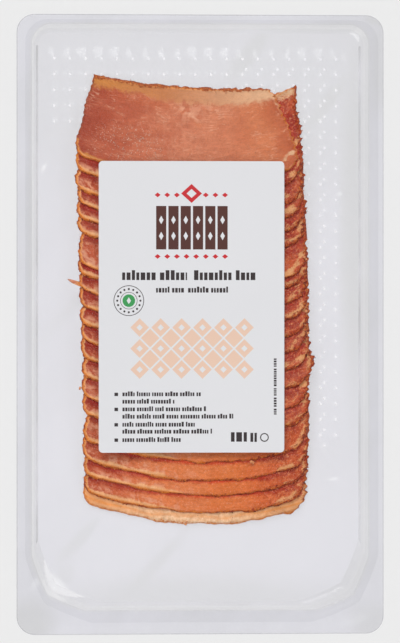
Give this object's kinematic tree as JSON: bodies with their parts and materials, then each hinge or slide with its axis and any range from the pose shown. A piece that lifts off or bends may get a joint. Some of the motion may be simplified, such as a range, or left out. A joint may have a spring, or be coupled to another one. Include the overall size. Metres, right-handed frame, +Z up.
{
  "type": "pack of sliced dried pork",
  "caption": "Flat clear thermoformed pack of thin spiced dried pork slices, shingled in a row under a clear film with a paper label.",
  "frame": {"origin": "below the middle of the rim, on the surface that the tray rests on", "axes": "+X to the right of the label, +Y to its top, +Z up out of the label; the pack lies on its tray"},
  "size_m": [0.13, 0.219, 0.0115],
  "materials": {
    "clear_tray": "clear, gloss, faintly lavender grey",
    "clear_film": "clear, gloss",
    "label_paper": "satin, pale grey white",
    "dried_pork": "moist satin, red brown lean with orange crust"
  },
  "bodies": {
    "root": {"tray": "clear_tray", "slice_01": "dried_pork", "slice_02": "dried_pork", "slice_03": "dried_pork", "slice_04": "dried_pork", "slice_05": "dried_pork", "slice_06": "dried_pork", "slice_07": "dried_pork", "slice_08": "dried_pork", "slice_09": "dried_pork", "slice_10": "dried_pork", "slice_11": "dried_pork", "slice_12": "dried_pork", "slice_13": "dried_pork", "slice_14": "dried_pork", "slice_15": "dried_pork", "slice_16": "dried_pork", "slice_17": "dried_pork", "slice_18": "dried_pork", "slice_19": "dried_pork", "slice_20": "dried_pork", "slice_21": "dried_pork", "film": "clear_film", "label": "label_paper"}
  },
  "joints": []
}
